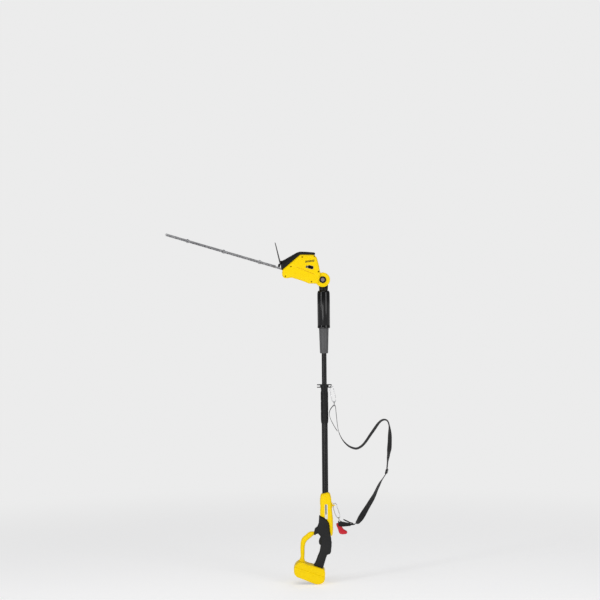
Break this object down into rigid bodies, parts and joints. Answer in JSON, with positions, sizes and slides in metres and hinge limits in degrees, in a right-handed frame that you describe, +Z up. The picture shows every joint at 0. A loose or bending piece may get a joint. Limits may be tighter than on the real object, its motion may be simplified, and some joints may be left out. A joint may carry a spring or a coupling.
{
  "type": "pole hedge trimmer",
  "caption": "Cordless long-reach hedge trimmer: tilting head with a double-action blade on a telescopic pole, D-guard handle with a battery foot, and a carrying strap.",
  "frame": {"origin": "middle of the rear grip, on the pole's axis", "axes": "+Z up along the pole to the head, -X where the blade points, +X the side the carrying strap hangs on, -Y the side of the tilt button"},
  "size_m": [0.9006, 0.0888, 1.404],
  "materials": {
    "yellow_plastic": "satin, fine texture",
    "black_plastic": "satin",
    "gloss_black": "gloss",
    "soft_black": "soft, matt",
    "grey_plastic": "satin",
    "tube_black": "black anodised",
    "steel": "turned",
    "blade_steel": "ground",
    "wire_grey": "plated",
    "button_grey": "satin",
    "red_plastic": "satin",
    "webbing": "woven",
    "copper": "wound wire",
    "board_green": "lacquered"
  },
  "bodies": {
    "pole": {"handle_shell_front": "yellow_plastic", "handle_shell_rear": "yellow_plastic", "handle_eyelet": "yellow_plastic", "clamp_body": "black_plastic", "strap_hanger": "black_plastic", "trigger_switch": "black_plastic", "battery_shoe": "black_plastic", "terminal_block": "black_plastic", "release_buckle": "black_plastic", "strap_slider": "black_plastic", "grip_cover_front": "soft_black", "grip_cover_rear": "soft_black", "coiled_lead": "soft_black", "outer_tube": "tube_black", "trigger_spring": "steel", "lever_spring": "steel", "upper_hook": "wire_grey", "lower_hook": "wire_grey", "upper_ring": "wire_grey", "lower_ring": "wire_grey", "strap_webbing": "webbing", "strap_fold_upper": "webbing", "strap_fold_lower": "webbing", "control_board": "board_green"},
    "middle_tube": {"middle_tube": "tube_black", "middle_ferrule": "black_plastic", "middle_bush": "grey_plastic"},
    "inner_pole": {"hinge_knuckle": "black_plastic", "detent_ring": "steel", "pole_socket": "grey_plastic", "inner_tube": "tube_black", "inner_bush": "grey_plastic"},
    "head": {"head_shell_front": "yellow_plastic", "head_shell_rear": "yellow_plastic", "head_cap": "black_plastic", "blade_guard": "black_plastic", "blade_clamp": "black_plastic", "blade_bar": "blade_steel", "blade_bolt_1": "steel", "blade_bolt_2": "steel", "blade_bolt_3": "steel", "gear_housing": "grey_plastic", "bearing_upper": "steel", "bearing_lower": "steel", "motor_case": "steel", "hinge_pin": "steel", "button_spring": "steel"},
    "release_button": {"release_button": "button_grey"},
    "upper_blade": {"upper_blade": "blade_steel"},
    "lower_blade": {"lower_blade": "blade_steel"},
    "drive_gear": {"drive_gear": "steel"},
    "motor_rotor": {"motor_rotor": "copper"},
    "coupling_sleeve": {"coupling_sleeve": "gloss_black"},
    "clamp_nut": {"clamp_nut": "black_plastic"},
    "trigger": {"trigger": "black_plastic"},
    "lock_lever": {"lock_lever": "soft_black"},
    "upper_gate": {"upper_gate": "wire_grey"},
    "lower_gate": {"lower_gate": "wire_grey"},
    "release_tab": {"release_tab": "red_plastic"}
  },
  "joints": [
    {"name": "middle_tube_slide", "type": "slide", "parent": "pole", "child": "middle_tube", "axis": [0, 0, 1], "range_m": [0, 0.437], "deforming": ["coiled_lead"]},
    {"name": "inner_tube_slide", "type": "slide", "parent": "middle_tube", "child": "inner_pole", "axis": [0, 0, 1], "range_m": [0, 0.437]},
    {"name": "clamp_twist", "type": "hinge", "parent": "pole", "child": "clamp_nut", "pos_m": [0, 0, 0.555], "axis": [0, 0, 1], "range_deg": [0, 90]},
    {"name": "sleeve_twist", "type": "hinge", "parent": "inner_pole", "child": "coupling_sleeve", "pos_m": [0, 0, 0.94], "axis": [0, 0, 1], "range_deg": [0, 110]},
    {"name": "head_tilt", "type": "hinge", "parent": "inner_pole", "child": "head", "pos_m": [-0.003, 0, 1.06], "axis": [0, 1, 0], "range_deg": [-41.5, 73.5]},
    {"name": "button_press", "type": "slide", "parent": "head", "child": "release_button", "axis": [0, 1, 0], "range_m": [0, 0.003], "stiffness_N_per_m": 500, "springref_m": -0.002, "deforming": ["button_spring"]},
    {"name": "upper_blade_stroke", "type": "slide", "parent": "head", "child": "upper_blade", "axis": [-0.9573, 0, 0.289], "range_m": [-0.005, 0.005]},
    {"name": "lower_blade_stroke", "type": "slide", "parent": "head", "child": "lower_blade", "axis": [-0.9573, 0, 0.289], "range_m": [-0.005, 0.005]},
    {"name": "rotor_spin", "type": "hinge", "parent": "head", "child": "motor_rotor", "pos_m": [-0.08849, 0, 1.07969], "axis": [0.289, 0, 0.9573], "continuous": true},
    {"name": "gear_spin", "type": "hinge", "parent": "head", "child": "drive_gear", "pos_m": [-0.10773, 0, 1.0855], "axis": [0.289, 0, 0.9573], "continuous": true},
    {"name": "trigger_pull", "type": "hinge", "parent": "pole", "child": "trigger", "pos_m": [-0.0125, 0, 0.0315], "axis": [0, -1, 0], "range_deg": [0, 8], "stiffness_Nm_per_rad": 0.6, "springref_deg": -11.46, "deforming": ["trigger_spring"]},
    {"name": "lock_lever_press", "type": "hinge", "parent": "pole", "child": "lock_lever", "pos_m": [0.0168, 0, 0.0285], "axis": [0, 1, 0], "range_deg": [0, 4], "stiffness_Nm_per_rad": 0.6, "springref_deg": -11.46, "deforming": ["lever_spring"]},
    {"name": "upper_gate_swing", "type": "hinge", "parent": "pole", "child": "upper_gate", "pos_m": [0.0453, 0, 0.5875], "axis": [0, -1, 0], "range_deg": [0, 14], "stiffness_Nm_per_rad": 0.02, "springref_deg": -17.19},
    {"name": "lower_gate_swing", "type": "hinge", "parent": "pole", "child": "lower_gate", "pos_m": [0.057, 0, 0.1202], "axis": [0, -1, 0], "range_deg": [0, 16], "stiffness_Nm_per_rad": 0.02, "springref_deg": -17.19},
    {"name": "release_tab_pull", "type": "hinge", "parent": "pole", "child": "release_tab", "pos_m": [0.0595, 0, 0.0825], "axis": [0, 1, 0], "range_deg": [0, 9], "stiffness_Nm_per_rad": 0.1, "springref_deg": -11.46}
  ],
  "couplings": [
    {"joint": "lower_blade_stroke", "follows": "upper_blade_stroke", "ratio": -1},
    {"joint": "gear_spin", "follows": "rotor_spin", "ratio": -0.25}
  ]
}
